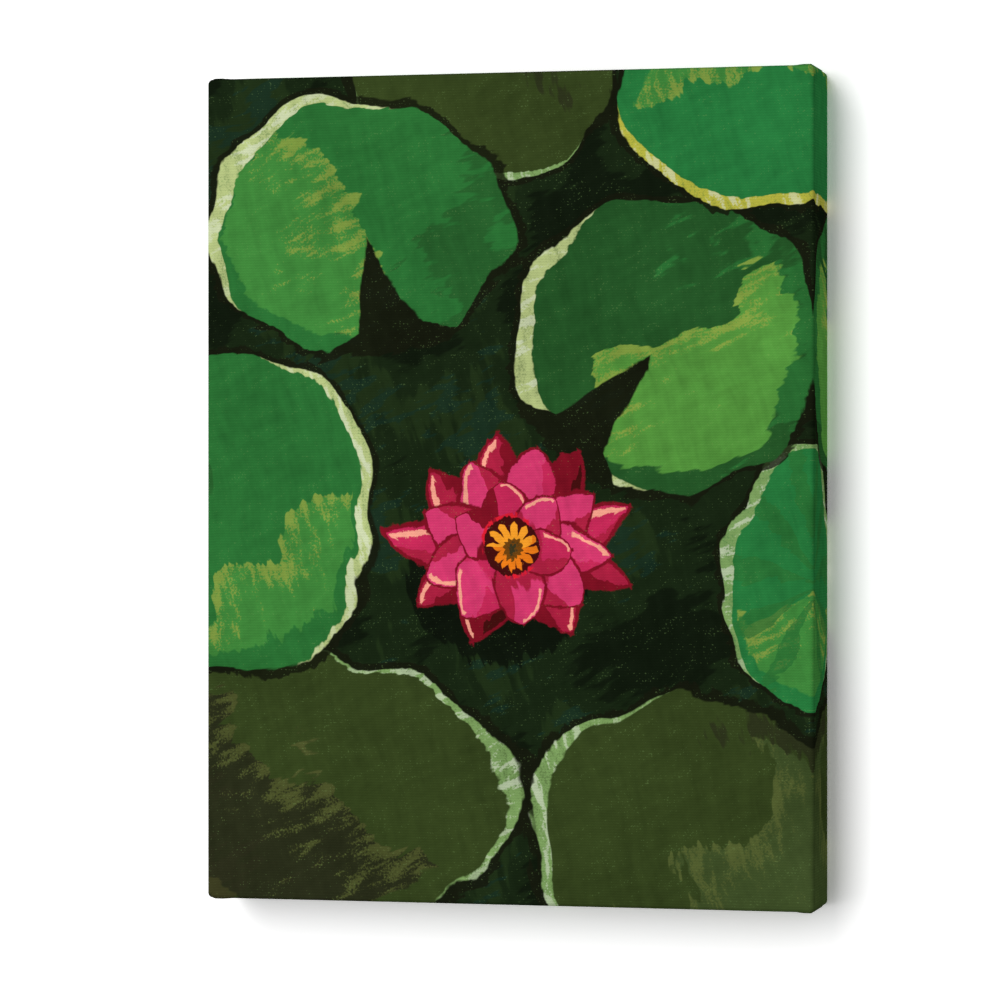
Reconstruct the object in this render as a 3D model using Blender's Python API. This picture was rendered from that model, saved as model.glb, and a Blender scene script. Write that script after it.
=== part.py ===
"""A canvas print: printed cloth stretched over four keyed pine bars, with a sawtooth hanger on the back.

Metres, +Z up, +X to the right of someone facing the picture, +Y into the wall. The wall is the plane
y = 0, and the origin is the point where the wall's nail bears in the hanger's middle notch.
"""

import math
import random

import bmesh
import bpy
from mathutils import Matrix, Vector

# The picture's face, and what every piece shares
FACE_WIDTH = 0.3048
FACE_HEIGHT = 0.4064
GAP = 0.0003  # between pieces that touch
TOP_EDGE = 0.0285  # the picture's top edge above the nail
CENTRE_Z = TOP_EDGE - FACE_HEIGHT / 2

# Rubber bumpers, which hold the lower edge off the wall
BUMPER_HEIGHT = 0.003
BUMPER_RADIUS = 0.005
BUMPER_CHAMFER = 0.0006
BUMPER_INSET = 0.012
BUMPER_SIDES = 28

# Cloth: front, sides and the lip turned over the back are one sheet
CLOTH = 0.0005
LIP_WIDTH = 0.020
LIP_BACK = -(BUMPER_HEIGHT + GAP)
CORNER_RADIUS = 0.0025
EDGE_RADIUS = 0.0023
BACK_EDGE_RADIUS = 0.0009
SHARPEST = 0.0002
ARC_STEPS = 5

# Stretcher bars
BAR_DEPTH = 0.038
BAR_WIDTH = 0.032
BAR_BACK = LIP_BACK - CLOTH - GAP
BAR_FRONT = BAR_BACK - BAR_DEPTH
BEAD_RADIUS = EDGE_RADIUS - CLOTH - GAP
BEAD_WIDTH = 0.005
BEAD_DROP = 0.0006
FACE_DROP = 0.004  # the bar's front falls away from the cloth by this at its inner edge
EASE = 0.0008
CORNER_EASE = 0.002
MITRE_GAP = 0.00015 * math.sqrt(2)
CLOTH_FRONT = BAR_FRONT - GAP - CLOTH

# Corner joint: each bar end has a tongue, and a pocket for its neighbour's tongue and a key
TONGUE = 0.0034
TONGUE_MARGIN = 0.006
TONGUE_TIP_MARGIN = 0.0005
TONGUE_ROOT = 0.004
POCKET = TONGUE + 2 * GAP
POCKET_MARGIN = TONGUE_MARGIN - 0.0004
POCKET_START = 0.003
POCKET_SPLAY = 0.008
BACK_JOINT = BAR_BACK - 0.0130
FRONT_JOINT = BAR_BACK - 0.0250
OVERRUN = 0.002  # how far a cutter runs past what it cuts

# Wedge keys
KEY_TIP = 0.010
KEY_PROUD = 0.008
KEY_THICKNESS = 0.0030

# Staples
CROWN = 0.0100
WIRE_WIDTH = 0.0012
WIRE_THICKNESS = 0.0006
LEG = 0.0080
LEG_POINT = 0.0008
BEND_RADIUS = 0.0007
STAPLE_INSET = 0.0115
STAPLE_TILT = math.radians(7)
CROWN_BACK = LIP_BACK + GAP + WIRE_THICKNESS
SHORT_ROW = (-0.124, -0.083, -0.041, 0.0, 0.041, 0.083, 0.124)
LONG_ROW = (-0.172, -0.135, -0.090, -0.045, 0.0, 0.045, 0.090, 0.135, 0.172)

# Sawtooth hanger and its two nails
STEEL = 0.0008
HANGER_HALF = 0.0230
HANGER_CORNER = 0.001
HANGER_TOP = 0.0065
TOOTH_DEPTH = 0.0020
TOOTH_PITCH = 0.0030
TEETH_EACH_SIDE = 4
RAISED_HALF = 0.0140
FOOT_START = 0.0165
FOOT_BACK = BAR_BACK + GAP + STEEL
NAIL_X = 0.0198
NAIL_Z = 0.0022
NAIL_RADIUS = 0.0007
NAIL_LENGTH = 0.0100
NAIL_HEAD_RADIUS = 0.0016
NAIL_HEAD = 0.0005
NAIL_CROWN_RADIUS = 0.6 * NAIL_HEAD_RADIUS
NAIL_TIP_RADIUS = 0.2 * NAIL_RADIUS
NAIL_SIDES = 16

# Each bar, walking round the frame: name, outer length, distance from the centre, staples' places
BAR_LENGTH_ACROSS = FACE_WIDTH - 2 * (CLOTH + GAP)
BAR_LENGTH_UP = FACE_HEIGHT - 2 * (CLOTH + GAP)
SIDES = (
    ("bottom", BAR_LENGTH_ACROSS, BAR_LENGTH_UP / 2, SHORT_ROW),
    ("right", BAR_LENGTH_UP, BAR_LENGTH_ACROSS / 2, LONG_ROW),
    ("top", BAR_LENGTH_ACROSS, BAR_LENGTH_UP / 2, SHORT_ROW),
    ("left", BAR_LENGTH_UP, BAR_LENGTH_ACROSS / 2, LONG_ROW),
)
CORNERS = ("bottom_left", "bottom_right", "top_right", "top_left")  # where each of those bars starts

SMOOTH_BELOW = math.radians(35)


def clear_scene():
    for obj in list(bpy.data.objects):
        bpy.data.objects.remove(obj)


def finish(name, colour, roughness, metallic=0.0):
    """A plain material for one kind of piece."""
    made = bpy.data.materials.new(name)
    made.use_nodes = True
    shader = made.node_tree.nodes["Principled BSDF"]
    shader.inputs["Base Color"].default_value = (*colour, 1.0)
    shader.inputs["Roughness"].default_value = roughness
    shader.inputs["Metallic"].default_value = metallic
    return made


def closed_mesh(name, shape):
    """The bmesh as a mesh with its faces pointing out."""
    bmesh.ops.recalc_face_normals(shape, faces=shape.faces)
    mesh = bpy.data.meshes.new(name)
    shape.to_mesh(mesh)
    shape.free()
    return mesh


def add(name, mesh, material=None, parent=None, matrix=None):
    obj = bpy.data.objects.new(name, mesh)
    bpy.context.scene.collection.objects.link(obj)
    if material:
        mesh.materials.append(material)
    if parent:
        obj.parent = parent
    if matrix:
        obj.matrix_basis = matrix
    return obj


def add_prism(shape, outline, low, high, matrix=None):
    """Adds a closed prism to a bmesh: an outline of (x, z) points, from y = low to y = high."""
    matrix = matrix or Matrix.Identity(4)
    near = [shape.verts.new(matrix @ Vector((x, low, z))) for x, z in outline]
    far = [shape.verts.new(matrix @ Vector((x, high, z))) for x, z in outline]
    shape.faces.new(near)
    shape.faces.new(far)
    for i in range(len(outline)):
        j = (i + 1) % len(outline)
        shape.faces.new((near[i], near[j], far[j], far[i]))


def circle(radius, sides, x=0.0, z=0.0):
    turns = [2 * math.pi * i / sides for i in range(sides)]
    return [(x + radius * math.cos(a), z + radius * math.sin(a)) for a in turns]


def arc(centre_a, centre_b, radius, start, end, steps=ARC_STEPS):
    """Points of an arc in any plane, as (a, b), with its angles in degrees."""
    angles = [math.radians(start + (end - start) * i / steps) for i in range(steps + 1)]
    return [(centre_a + radius * math.cos(a), centre_b + radius * math.sin(a)) for a in angles]


def boolean(obj, other, operation):
    """Joins or cuts obj with a helper mesh, which isn't a piece itself."""
    other.hide_render = True
    other.display_type = "WIRE"
    modifier = obj.modifiers.new(f"{operation.lower()} {other.name}", "BOOLEAN")
    modifier.operation = operation
    modifier.solver = "EXACT"
    modifier.object = other


def side_matrix(index):
    """From a bar's own frame (x along it, z inwards from its outer face) to the world."""
    turn = Matrix.Rotation(-index * math.pi / 2, 4, "Y")
    outwards = Matrix.Translation((0, 0, -SIDES[index][2]))
    return Matrix.Translation((0, 0, CENTRE_Z)) @ turn @ outwards


# Cloth


def rounded_rectangle(inset):
    """One loop of the cloth, as (x, z) points round the picture's centre, inset from its outer edge."""
    radius = max(CORNER_RADIUS - inset, SHARPEST)
    across = FACE_WIDTH / 2 - inset - radius
    up = FACE_HEIGHT / 2 - inset - radius
    loop = []
    for quarter, (x, z) in enumerate(((across, up), (-across, up), (-across, -up), (across, -up))):
        loop += arc(x, z, radius, 90 * quarter, 90 * quarter + 90)
    return loop


def cloth_section():
    """(inset, y) from the front's outside, round the edge, to the lip, and back along the inside."""
    edge_y = CLOTH_FRONT + EDGE_RADIUS
    back_y = LIP_BACK - BACK_EDGE_RADIUS
    inner_edge = EDGE_RADIUS - CLOTH
    inner_back = BACK_EDGE_RADIUS - CLOTH
    outside = arc(EDGE_RADIUS, edge_y, EDGE_RADIUS, 270, 180)
    outside += arc(BACK_EDGE_RADIUS, back_y, BACK_EDGE_RADIUS, 180, 90)
    lip = [(LIP_WIDTH, LIP_BACK), (LIP_WIDTH, LIP_BACK - CLOTH)]
    inside = arc(BACK_EDGE_RADIUS, back_y, inner_back, 90, 180)
    inside += arc(EDGE_RADIUS, edge_y, inner_edge, 180, 270)
    return outside + lip + inside


def make_cloth(material, holes):
    shape = bmesh.new()
    loops = []
    for inset, y in cloth_section():
        loop = rounded_rectangle(inset)
        loops.append([shape.verts.new((x, y, z + CENTRE_Z)) for x, z in loop])
    for one, other in zip(loops, loops[1:]):
        for i in range(len(one)):
            j = (i + 1) % len(one)
            shape.faces.new((one[i], one[j], other[j], other[i]))
    shape.faces.new(loops[0])
    shape.faces.new(loops[-1])
    cloth = add("printed_canvas", closed_mesh("printed_canvas", shape), material)
    boolean(cloth, holes, "DIFFERENCE")


# Stretcher bars


def bar_section():
    """(z, y) round a bar: a bead at the outer front edge, and a front face that falls away from it."""
    bead = arc(BEAD_RADIUS, BAR_FRONT + BEAD_RADIUS, BEAD_RADIUS, 180, 270)
    return bead + [
        (BEAD_WIDTH, BAR_FRONT + BEAD_DROP),
        (BAR_WIDTH - EASE, BAR_FRONT + FACE_DROP),
        (BAR_WIDTH, BAR_FRONT + FACE_DROP + EASE),
        (BAR_WIDTH, BAR_BACK - EASE),
        (BAR_WIDTH - EASE, BAR_BACK),
        (EASE, BAR_BACK),
        (0.0, BAR_BACK - EASE),
    ]


def pocket_end(z):
    """How far from the outer corner a pocket reaches, at a distance z in from the bar's outer face."""
    share = (z - POCKET_MARGIN) / (BAR_WIDTH - POCKET_MARGIN)
    return BAR_WIDTH + POCKET_START + POCKET_SPLAY * share


def at_end(points, length, end):
    """Points given by their distance from an end's outer corner; end is -1 at the left, +1 at the right."""
    return [(end * (length / 2 - x), z) for x, z in points]


def joints_of_end(end):
    """(tongue's y, pocket's y): a left end's tongue is the front one, a right end's the back one."""
    return (FRONT_JOINT, BACK_JOINT) if end < 0 else (BACK_JOINT, FRONT_JOINT)


def tongue_outline():
    inner = BAR_WIDTH + TONGUE_ROOT
    low, high = TONGUE_MARGIN, BAR_WIDTH - TONGUE_TIP_MARGIN
    return [(low, low), (inner, low), (inner, high), (low, high)]


def pocket_outline():
    past = BAR_WIDTH + OVERRUN
    return [
        (-OVERRUN, POCKET_MARGIN),
        (pocket_end(POCKET_MARGIN), POCKET_MARGIN),
        (pocket_end(past), past),
        (-OVERRUN, past),
    ]


def corner_outline():
    return [(-OVERRUN, -OVERRUN), (CORNER_EASE + OVERRUN, -OVERRUN), (-OVERRUN, CORNER_EASE + OVERRUN)]


def make_bar(index, pine, pine_key, staple_legs):
    name, length, _, _ = SIDES[index]
    shape = bmesh.new()
    ends = []
    for end in (-1, 1):
        section = [(end * (length / 2 - z - MITRE_GAP), y, z) for z, y in bar_section()]
        ends.append([shape.verts.new(point) for point in section])
        shape.faces.new(ends[-1])
    for i in range(len(ends[0])):
        j = (i + 1) % len(ends[0])
        shape.faces.new((ends[0][i], ends[0][j], ends[1][j], ends[1][i]))
    bar = add(f"{name}_bar", closed_mesh(name, shape), pine, matrix=side_matrix(index))

    tongues, pockets, corners = bmesh.new(), bmesh.new(), bmesh.new()
    for end in (-1, 1):
        tongue_y, pocket_y = joints_of_end(end)
        outline = at_end(tongue_outline(), length, end)
        add_prism(tongues, outline, tongue_y - TONGUE / 2, tongue_y + TONGUE / 2)
        outline = at_end(pocket_outline(), length, end)
        add_prism(pockets, outline, pocket_y - POCKET / 2, pocket_y + POCKET / 2)
        outline = at_end(corner_outline(), length, end)
        add_prism(corners, outline, BAR_FRONT - OVERRUN, BAR_BACK + OVERRUN)
        corner = CORNERS[index] if end < 0 else CORNERS[(index + 1) % len(CORNERS)]
        add_key(f"{corner}_key_in_{name}_bar", length, end, pocket_y, pine_key, bar)
    for shape, kind, operation in (
        (tongues, "tongues", "UNION"),
        (pockets, "pockets", "DIFFERENCE"),
        (corners, "corners", "DIFFERENCE"),
    ):
        helper = add(f"{name} {kind}", closed_mesh(kind, shape), parent=bar)
        boolean(bar, helper, operation)
    boolean(bar, staple_legs, "DIFFERENCE")
    return bar


def add_key(name, length, end, y, material, bar):
    """A wedge in a bar's pocket, with its straight side along the neighbouring bar's inner face."""
    proud = BAR_WIDTH + KEY_PROUD
    outline = [
        (BAR_WIDTH + GAP, KEY_TIP),
        (pocket_end(KEY_TIP) - GAP, KEY_TIP),
        (pocket_end(proud) - GAP, proud),
        (BAR_WIDTH + GAP, proud),
    ]
    shape = bmesh.new()
    add_prism(shape, at_end(outline, length, end), y - KEY_THICKNESS / 2, y + KEY_THICKNESS / 2)
    key = add(name, closed_mesh(name, shape), material, parent=bar)
    bevel = key.modifiers.new("worn edges", "BEVEL")
    bevel.width = GAP
    bevel.segments = 1


# Staples


def staple_places():
    """(side, x along its bar, tilt) of each staple."""
    tilts = random.Random(12)
    return [
        (index, x, tilts.uniform(-STAPLE_TILT, STAPLE_TILT))
        for index, side in enumerate(SIDES)
        for x in side[3]
    ]


def staple_matrix(index, x, tilt):
    place = Matrix.Translation((x, 0, STAPLE_INSET)) @ Matrix.Rotation(tilt, 4, "Y")
    return side_matrix(index) @ place


def staple_mesh(material):
    """A wire bent into a U in the x-y plane, as wide as its wire in z, with chisel points."""
    half, inner = CROWN / 2, CROWN / 2 - WIRE_THICKNESS
    leg_end = CROWN_BACK - LEG
    bend = [(x, CROWN_BACK - BEND_RADIUS + y) for x, y in arc(half - BEND_RADIUS, 0, BEND_RADIUS, 0, 90, 3)]
    under = CROWN_BACK - WIRE_THICKNESS
    right = [(inner, under), (inner, leg_end + LEG_POINT), (half, leg_end)] + bend
    left = [(-x, y) for x, y in reversed(right)]
    shape = bmesh.new()
    flat = Matrix.Rotation(-math.pi / 2, 4, "X")
    add_prism(shape, right + left, -WIRE_WIDTH / 2, WIRE_WIDTH / 2, flat)
    mesh = closed_mesh("staple", shape)
    mesh.materials.append(material)
    return mesh


def leg_cutter(places):
    """The holes that all the legs make, through the lip and into the bars."""
    shape = bmesh.new()
    inner, outer = CROWN / 2 - WIRE_THICKNESS - GAP, CROWN / 2 + GAP
    half = WIRE_WIDTH / 2 + GAP
    for place in places:
        for hand in (-1, 1):
            a, b = sorted((hand * inner, hand * outer))
            outline = [(a, -half), (b, -half), (b, half), (a, half)]
            low = CROWN_BACK - LEG - GAP
            add_prism(shape, outline, low, LIP_BACK + GAP / 2, staple_matrix(*place))
    return add("staple holes", closed_mesh("staple holes", shape))


def make_staples(places, material):
    mesh = staple_mesh(material)
    for number, place in enumerate(places, 1):
        add(f"staple_{number:02d}", mesh, matrix=staple_matrix(*place))


# Hanger


def hanger_stations():
    """(x, lower z, back y) along the strip: flat feet, a raised middle, and teeth on its lower edge."""
    teeth = range(-2 * TEETH_EACH_SIDE, 2 * TEETH_EACH_SIDE + 1)
    stations = [(i * TOOTH_PITCH / 2, -TOOTH_DEPTH * (i % 2), 0.0) for i in teeth]
    end = stations[-1][0]
    outer = [
        (end + TOOTH_PITCH / 2, -TOOTH_DEPTH, 0.0),
        (RAISED_HALF, -TOOTH_DEPTH, 0.0),
        (FOOT_START, -TOOTH_DEPTH, FOOT_BACK),
        (HANGER_HALF - HANGER_CORNER, -TOOTH_DEPTH, FOOT_BACK),
        (HANGER_HALF, -TOOTH_DEPTH + HANGER_CORNER, FOOT_BACK),
    ]
    return [(-x, z, y) for x, z, y in reversed(outer)] + stations + outer


def make_hanger(brass, top_bar):
    shape = bmesh.new()
    sections = []
    for x, low, back in hanger_stations():
        high = HANGER_TOP - (HANGER_CORNER if abs(x) == HANGER_HALF else 0.0)
        corners = ((low, back), (high, back), (high, back - STEEL), (low, back - STEEL))
        sections.append([shape.verts.new((x, y, z)) for z, y in corners])
    for one, other in zip(sections, sections[1:]):
        for i in range(4):
            j = (i + 1) % 4
            shape.faces.new((one[i], one[j], other[j], other[i]))
    shape.faces.new(sections[0])
    shape.faces.new(sections[-1])
    hanger = add("sawtooth_hanger", closed_mesh("sawtooth_hanger", shape), brass)

    holes = bmesh.new()
    tip = FOOT_BACK - STEEL - NAIL_LENGTH
    for side, hand in (("left", -1), ("right", 1)):
        outline = circle(NAIL_RADIUS + GAP, NAIL_SIDES, hand * NAIL_X, NAIL_Z)
        add_prism(holes, outline, tip - GAP, FOOT_BACK + OVERRUN)
        make_hanger_nail(side, hand * NAIL_X, tip, brass)
    cutter = add("nail holes", closed_mesh("nail holes", holes))
    boolean(hanger, cutter, "DIFFERENCE")
    boolean(top_bar, cutter, "DIFFERENCE")


def make_hanger_nail(side, x, tip_y, material):
    """A pan-headed nail, from the top of its head to its tip."""
    under_head = FOOT_BACK + GAP
    rings = (
        (under_head + NAIL_HEAD, NAIL_CROWN_RADIUS),
        (under_head + NAIL_HEAD / 2, NAIL_HEAD_RADIUS),
        (under_head, NAIL_HEAD_RADIUS),
        (under_head, NAIL_RADIUS),
        (tip_y + 2 * NAIL_RADIUS, NAIL_RADIUS),
        (tip_y, NAIL_TIP_RADIUS),
    )
    make_turned(f"hanger_nail_{side}", rings, NAIL_SIDES, x, NAIL_Z, material)


def make_turned(name, rings, sides, x, z, material):
    """A round piece with its axis along y: rings of (y, radius), closed at both ends."""
    shape = bmesh.new()
    loops = []
    for y, radius in rings:
        loops.append([shape.verts.new((a, y, b)) for a, b in circle(radius, sides)])
    for one, other in zip(loops, loops[1:]):
        for i in range(sides):
            j = (i + 1) % sides
            shape.faces.new((one[i], one[j], other[j], other[i]))
    shape.faces.new(loops[0])
    shape.faces.new(loops[-1])
    obj = add(name, closed_mesh(name, shape), material, matrix=Matrix.Translation((x, 0, z)))
    obj.data.shade_smooth()
    obj.data.set_sharp_from_angle(angle=SMOOTH_BELOW)


def make_bumpers(rubber):
    foot = LIP_BACK + GAP
    rings = (
        (0.0, BUMPER_RADIUS - BUMPER_CHAMFER),
        (-BUMPER_CHAMFER, BUMPER_RADIUS),
        (foot, BUMPER_RADIUS),
    )
    z = CENTRE_Z - FACE_HEIGHT / 2 + BUMPER_INSET
    for side, hand in (("left", -1), ("right", 1)):
        x = hand * (FACE_WIDTH / 2 - BUMPER_INSET)
        make_turned(f"bumper_{side}", rings, BUMPER_SIDES, x, z, rubber)


def main():
    clear_scene()
    pine = finish("pine", (0.74, 0.55, 0.34), 0.6)
    pine_key = finish("key pine", (0.80, 0.63, 0.42), 0.6)
    cloth = finish("printed cloth", (0.10, 0.22, 0.08), 0.75)
    zinc = finish("zinc wire", (0.62, 0.63, 0.65), 0.35, 1.0)
    brass = finish("brassed steel", (0.72, 0.55, 0.26), 0.35, 1.0)
    rubber = finish("black rubber", (0.03, 0.03, 0.03), 0.7)

    places = staple_places()
    holes = leg_cutter(places)
    make_cloth(cloth, holes)
    bars = {SIDES[i][0]: make_bar(i, pine, pine_key, holes) for i in range(len(SIDES))}
    make_staples(places, zinc)
    make_hanger(brass, bars["top"])
    make_bumpers(rubber)


main()
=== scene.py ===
"""The looks of a stretched canvas print: pine bars and keys, printed cloth, staples, hanger and bumpers."""

import math

import bmesh
import bpy
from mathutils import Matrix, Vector


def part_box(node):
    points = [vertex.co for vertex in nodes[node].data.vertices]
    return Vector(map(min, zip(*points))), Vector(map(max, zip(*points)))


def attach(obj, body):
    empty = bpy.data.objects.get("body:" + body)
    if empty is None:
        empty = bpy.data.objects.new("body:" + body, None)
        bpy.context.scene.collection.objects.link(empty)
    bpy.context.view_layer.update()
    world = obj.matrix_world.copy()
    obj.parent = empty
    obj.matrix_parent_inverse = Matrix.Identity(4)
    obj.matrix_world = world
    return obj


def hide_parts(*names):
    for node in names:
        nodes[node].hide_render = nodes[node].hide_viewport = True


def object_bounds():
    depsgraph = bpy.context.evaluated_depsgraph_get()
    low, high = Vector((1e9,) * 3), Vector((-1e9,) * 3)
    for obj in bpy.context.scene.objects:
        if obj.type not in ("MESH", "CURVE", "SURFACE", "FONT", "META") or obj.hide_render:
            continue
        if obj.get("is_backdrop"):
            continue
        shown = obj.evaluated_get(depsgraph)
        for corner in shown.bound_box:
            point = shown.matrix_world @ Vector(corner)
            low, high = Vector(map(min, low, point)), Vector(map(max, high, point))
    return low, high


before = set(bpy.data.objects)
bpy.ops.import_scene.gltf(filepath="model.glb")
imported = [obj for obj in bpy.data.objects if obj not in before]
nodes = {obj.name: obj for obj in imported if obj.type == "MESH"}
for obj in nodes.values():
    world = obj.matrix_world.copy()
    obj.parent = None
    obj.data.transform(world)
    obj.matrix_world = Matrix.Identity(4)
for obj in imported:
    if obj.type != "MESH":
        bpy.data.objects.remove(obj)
cad_low, cad_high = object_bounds()


# --- Stretcher bars ---------------------------------------------------------------------------------
# Four lengths of planed pine, mitred and slotted together at the corners with no glue. The grain runs
# along each bar, with the rings' arcs in its ends and a knot or two on its face.

GRAIN_RING = 0.0032  # from one dark ring to the next
GRAIN_PULL = 9.0  # how much longer the grain's ripples are than they are wide


class Socket:
    """One output in a material. Arithmetic on it adds Math nodes, and node() adds any other kind."""

    def __init__(self, output):
        self.output = output

    def node(self, kind, settings=None, values=None, output=0):
        tree = self.output.id_data
        made = tree.nodes.new("ShaderNode" + kind)
        for name, setting in (settings or {}).items():
            setattr(made, name, setting)
        for name, value in (values or {}).items():
            join(value, made.inputs[name])
        return Socket(made.outputs[output])

    def maths(self, operation, *values):
        return self.node("Math", {"operation": operation}, dict(enumerate((self, *values))))

    def __add__(self, other):
        return self.maths("ADD", other)

    __radd__ = __add__

    def __sub__(self, other):
        return self.maths("SUBTRACT", other)

    def __rsub__(self, other):
        return (self * -1.0).maths("ADD", other)

    def __mul__(self, other):
        return self.maths("MULTIPLY", other)

    __rmul__ = __mul__

    def __truediv__(self, other):
        return self.maths("DIVIDE", other)

    def __pow__(self, other):
        return self.maths("POWER", other)

    def __abs__(self):
        return self.maths("ABSOLUTE")

    def nudged(self, other, amount):
        """This number with a share of another added."""
        return self.node("Math", {"operation": "MULTIPLY_ADD"}, {0: other, 1: amount, 2: self})

    def below(self, limit, soft):
        """1 where this is well below the limit and 0 where it is well above it."""
        limits = {1: limit - soft, 2: limit + soft, 3: 1.0, 4: 0.0}
        return self.node("MapRange", {"interpolation_type": "SMOOTHSTEP"}, {0: self, **limits})

    def above(self, limit, soft):
        limits = {1: limit - soft, 2: limit + soft, 3: 0.0, 4: 1.0}
        return self.node("MapRange", {"interpolation_type": "SMOOTHSTEP"}, {0: self, **limits})

    def under(self, cover, colour):
        """This colour with another over it, as far as cover goes from 0 to 1."""
        return self.node("Mix", {"data_type": "RGBA"}, {0: cover, 6: self, 7: colour}, 2)

    def scaled(self, amount):
        """This colour or vector made longer or shorter."""
        return self.node("VectorMath", {"operation": "SCALE"}, {0: self, "Scale": amount})

    def stretched(self, amounts):
        return self.node("VectorMath", {"operation": "MULTIPLY"}, {0: self, 1: amounts})

    def plus(self, other):
        return self.node("VectorMath", {"operation": "ADD"}, {0: self, 1: other})

    def along(self, direction):
        """How far this vector goes in a direction."""
        return self.node("VectorMath", {"operation": "DOT_PRODUCT"}, {0: self, 1: direction}, 1)

    def length(self):
        return self.node("VectorMath", {"operation": "LENGTH"}, {0: self}, 1)

    def drawn_out(self, lengths, turn=0.0):
        """This place, so that a pattern on it comes out longer by those amounts, and turned."""
        values = {0: self, "Rotation": (0, 0, turn), "Scale": lengths}
        return self.node("Mapping", {"vector_type": "TEXTURE"}, values)

    def noise(self, size, detail=2.0, rough=0.5, kind="3D", output=0):
        """Cloudy noise from 0 to 1, with clouds of about that size."""
        values = {"Vector": self, "Scale": 1 / size, "Detail": detail, "Roughness": rough}
        return self.node("TexNoise", {"noise_dimensions": kind}, values, output)

    def parts(self):
        """This vector's x, y and z."""
        first = self.node("SeparateXYZ", None, {0: self})
        return first, *(Socket(first.output.node.outputs[i]) for i in (1, 2))

    def colour(self, paint):
        """A flat colour to paint on, in the same material."""
        made = self.node("RGB")
        made.output.default_value = (*paint, 1.0)
        return made


def join(value, target):
    if isinstance(value, Socket):
        target.id_data.links.new(value.output, target)
    else:
        target.default_value = (*value, 1.0) if target.type == "RGBA" and len(value) == 3 else value


def ink(red, green, blue):
    """A colour given from 0 to 255, as on a printer's chart, in the linear values that shaders use."""
    shares = (part / 255 for part in (red, green, blue))
    return tuple(s / 12.92 if s <= 0.04045 else ((s + 0.055) / 1.055) ** 2.4 for s in shares)


def new_material(name, uv_map=None):
    """A material, its surface shader and the socket that says where on the piece it is."""
    material = bpy.data.materials.new(name)
    material.use_nodes = True
    tree = material.node_tree
    shader = tree.nodes["Principled BSDF"]
    if uv_map:
        place = tree.nodes.new("ShaderNodeUVMap")
        place.uv_map = uv_map
        return material, shader, Socket(place.outputs["UV"])
    return material, shader, Socket(tree.nodes.new("ShaderNodeTexCoord").outputs["Object"])


def raise_surface(shader, height, depth):
    """Gives the shader a relief of that depth in metres."""
    bump = height.node("Bump", None, {"Height": height, "Distance": depth, "Strength": 1.0})
    join(bump, shader.inputs["Normal"])


def dress(piece, material):
    """Gives a piece of the frame its finish."""
    piece.data.materials.clear()
    piece.data.materials.append(material)


def pine(name, axis, pith, knots, pale, dark, seed):
    """Planed pine with its grain along axis 0 (x) or 2 (z), round a pith line at pith (y, across)."""
    material, shader, place = new_material(name)
    x, y, z = place.parts()
    run, across = (x, z) if axis == 0 else (z, x)
    ripple = place.node("CombineXYZ", None, {0: run / GRAIN_PULL + seed, 1: y, 2: across})
    wander = ripple.noise(0.012, 2.0) - 0.5
    offset = run.node("CombineXYZ", None, {0: 0.0, 1: y - pith[0], 2: across - pith[1]})
    rings = (offset.length() + wander * 0.006) / GRAIN_RING
    wood = place.colour(pale)
    for knot_run, knot_across, knot_size in knots:
        flat = run.node("CombineXYZ", None, {0: (run - knot_run) / 1.7, 1: across - knot_across, 2: 0.0})
        far = flat.length() / knot_size
        rings = rings + far.below(1.2, 1.6) * 1.6
    late = (rings * (2 * math.pi)).maths("SINE")
    late = late.above(0.35, 0.7)
    fibre = ripple.noise(0.0009, 3.0, 0.6)
    cloud = ripple.noise(0.03, 1.0)
    wood = wood.under(late * 0.55 + fibre * 0.12, dark)
    wood = wood.under((cloud - 0.4) * 0.5, tuple(0.8 * c for c in pale))
    for knot_run, knot_across, knot_size in knots:
        flat = run.node("CombineXYZ", None, {0: (run - knot_run) / 1.25, 1: across - knot_across, 2: 0.0})
        far = flat.length() / knot_size + wander * 0.5
        wood = wood.under(far.below(1.05, 0.25) * 0.85, ink(122, 74, 38))
        wood = wood.under(far.below(0.35, 0.15) * 0.7, ink(74, 44, 24))
    join(wood, shader.inputs["Base Color"])
    join(fibre * 0.2 + 0.5 - late * 0.08, shader.inputs["Roughness"])
    raise_surface(shader, fibre * 0.6 + late * 0.4, 0.00008)
    return material


PINE_PALE = ink(226, 194, 146)
PINE_DARK = ink(196, 146, 92)
low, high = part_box("top_bar")
top_z, bottom_z = (low.z + high.z) / 2, sum(v.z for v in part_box("bottom_bar")) / 2
left_x, right_x = (sum(v.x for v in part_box(name)) / 2 for name in ("left_bar", "right_bar"))
BARS = (
    ("top_bar", 0, (0.016, top_z - 0.030), ((-0.071, top_z - 0.004, 0.0042),), 0.3),
    ("bottom_bar", 0, (0.030, bottom_z + 0.026), ((0.052, bottom_z + 0.003, 0.0033),), 5.1),
    ("left_bar", 2, (0.022, left_x - 0.034), ((-0.262, left_x + 0.006, 0.0046),), 9.7),
    ("right_bar", 2, (-0.060, right_x + 0.030), ((-0.118, right_x - 0.007, 0.0030),), 14.2),
)
for name, axis, pith, knots, seed in BARS:
    dress(nodes[name], pine(name + " pine", axis, pith, knots, PINE_PALE, PINE_DARK, seed))


# --- Corner keys ------------------------------------------------------------------------------------
# Thin pine wedges tapped into the slots of the inside corners, to open the frame and tighten the cloth.
# They are sawn and not planed, a little paler than the bars, with their grain across the bar they sit in.

for side, axis in (("top", 2), ("bottom", 2), ("left", 0), ("right", 0)):
    seed = 20.0 + len(side) + axis
    sawn = pine(side + " key pine", axis, (0.06, 0.02), (), ink(235, 208, 164), ink(208, 166, 112), seed)
    for name in sorted(nodes):
        if name.endswith(f"_key_in_{side}_bar"):
            dress(nodes[name], sawn)


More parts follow.
